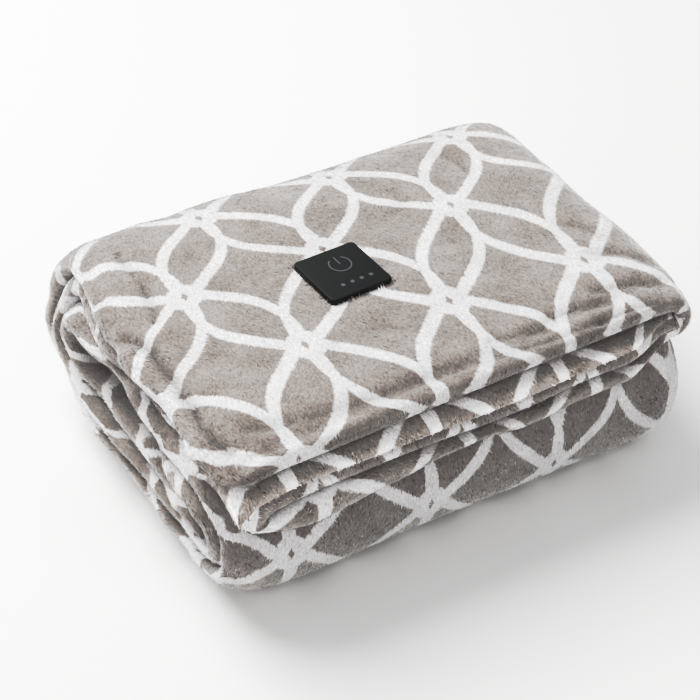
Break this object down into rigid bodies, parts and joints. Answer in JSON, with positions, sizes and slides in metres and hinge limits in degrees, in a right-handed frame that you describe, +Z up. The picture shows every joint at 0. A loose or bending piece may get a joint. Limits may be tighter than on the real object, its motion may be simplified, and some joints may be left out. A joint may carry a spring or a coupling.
{
  "type": "electric heated blanket",
  "caption": "Plush heated lap blanket, doubled and rolled flat into a folded stack of thick layers, with a square touch control pad on top.",
  "frame": {"origin": "middle of the stack's outline, in the plane of its underside", "axes": "+X along the long side to the right end, where the cloth is folded double; -Y is the front with the hems; +Z up"},
  "size_m": [0.3538, 0.272, 0.1353],
  "materials": {
    "plush": "short-pile plush with a printed lattice of pale lines",
    "black_plastic": "matte black with a pale printed ring and dots"
  },
  "bodies": {
    "root": {"blanket": "plush", "touch_control": "black_plastic"}
  },
  "joints": []
}
